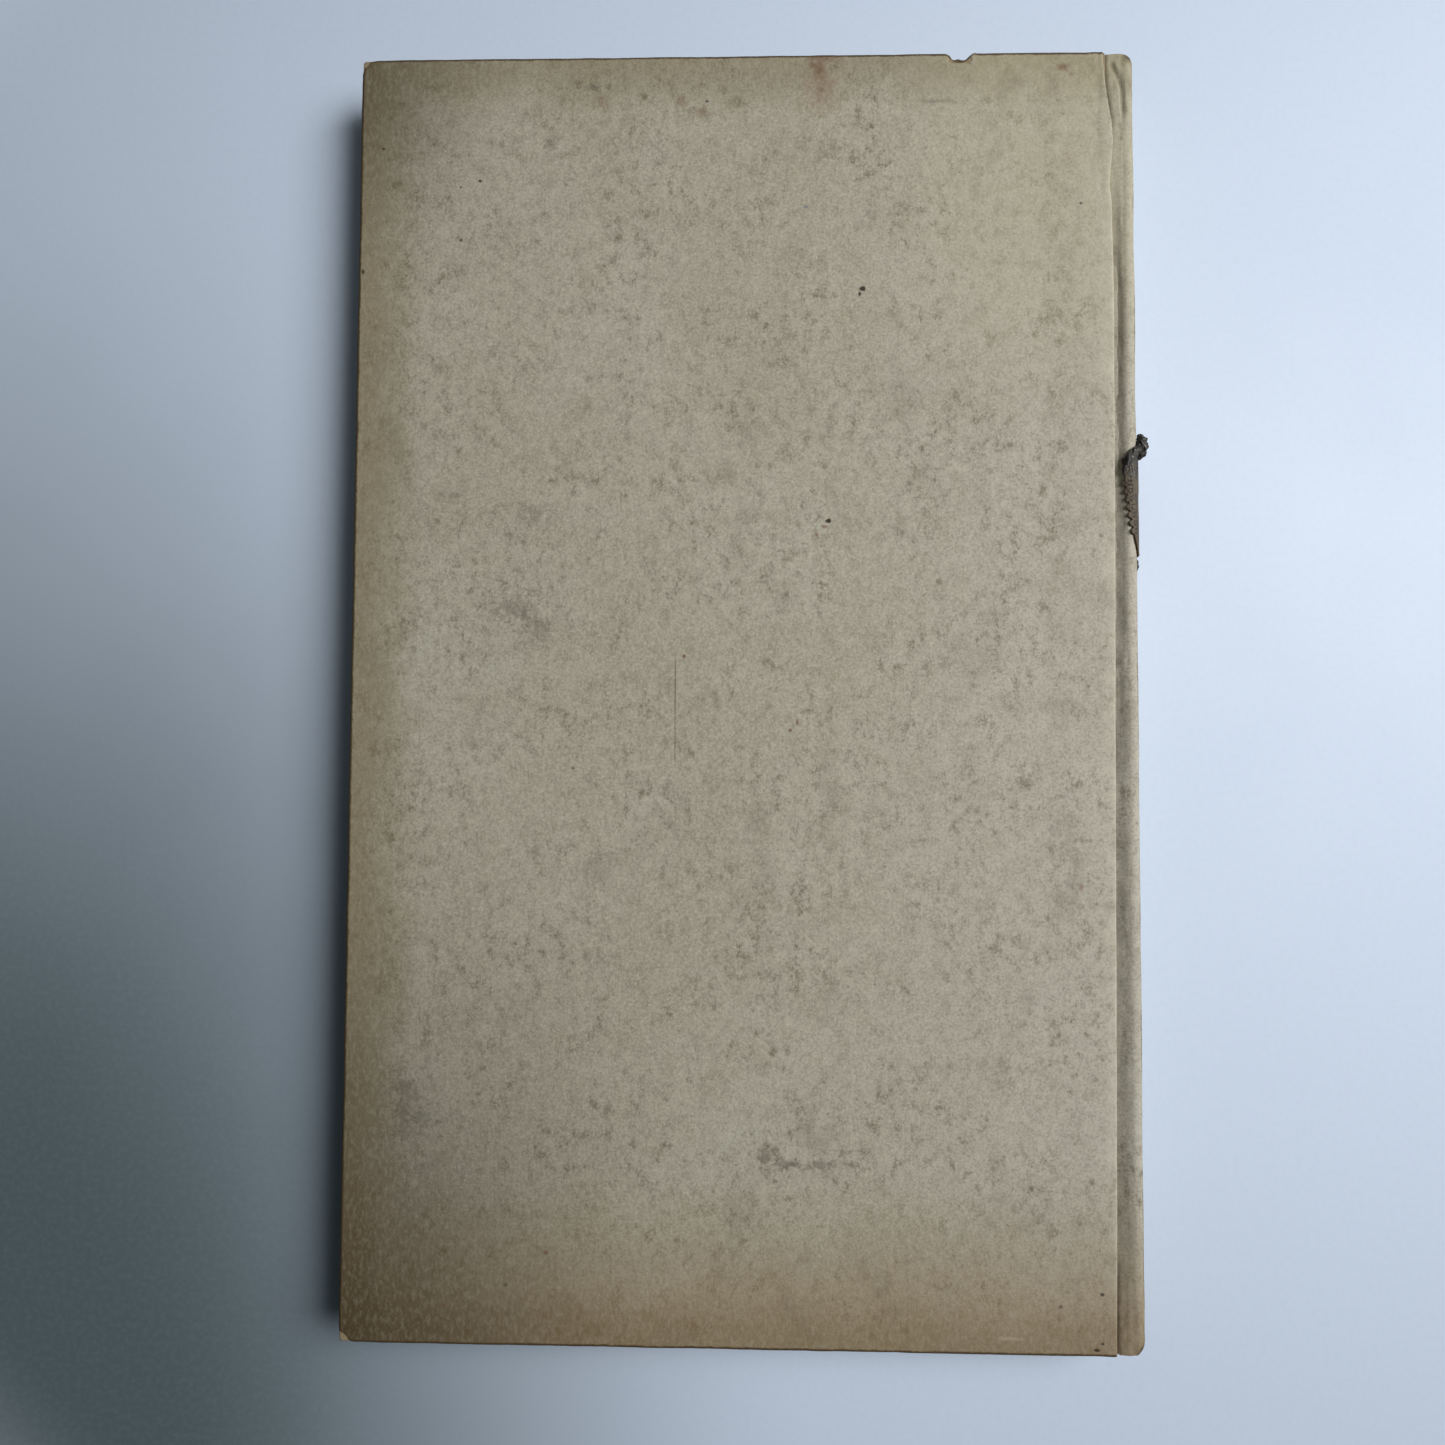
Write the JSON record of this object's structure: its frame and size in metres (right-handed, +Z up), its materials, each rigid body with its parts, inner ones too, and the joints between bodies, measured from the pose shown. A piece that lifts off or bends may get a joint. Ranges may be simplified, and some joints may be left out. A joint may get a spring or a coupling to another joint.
{
  "type": "hardcover book",
  "caption": "Slim old hardcover book with paper-covered boards, a rounded spine with joints and a leather spine label; both covers open.",
  "frame": {"origin": "middle of the book's outer size, on the surface it lies on", "axes": "+Z up through the closed book, which lies on its front cover; +X towards the spine; +Y towards the head"},
  "size_m": [0.1418, 0.229, 0.0126],
  "materials": {
    "book_paper": "toned uncoated paper",
    "endpaper": "toned uncoated paper",
    "cover_paper": "soiled grey-buff paper",
    "kraft_paper": "brown kraft paper",
    "card": "grey-brown card",
    "board": "pressed grey-brown board",
    "mull_cloth": "open cotton weave",
    "linen": "waxed linen",
    "label_leather": "worn dark brown leather"
  },
  "bodies": {
    "text_block": {"text_block": "book_paper", "sewing_cords": "linen", "kettle_stitches": "linen", "mull": "mull_cloth", "spine_lining": "kraft_paper", "spine_inlay": "card", "spine_cover_paper": "cover_paper", "spine_label": "label_leather", "back_endpaper": "endpaper", "front_endpaper": "endpaper"},
    "back_cover": {"back_board": "board", "back_cover_paper": "cover_paper", "back_mull_flange": "mull_cloth", "back_pastedown": "endpaper"},
    "front_cover": {"front_board": "board", "front_cover_paper": "cover_paper", "front_mull_flange": "mull_cloth", "front_pastedown": "endpaper"}
  },
  "joints": [
    {"name": "back_cover_hinge", "type": "hinge", "parent": "text_block", "child": "back_cover", "pos_m": [0.06765, 0, 0.00925], "axis": [0, 1, 0], "range_deg": [0, 180]},
    {"name": "front_cover_hinge", "type": "hinge", "parent": "text_block", "child": "front_cover", "pos_m": [0.06765, 0, 0.00285], "axis": [0, -1, 0], "range_deg": [0, 180]}
  ]
}
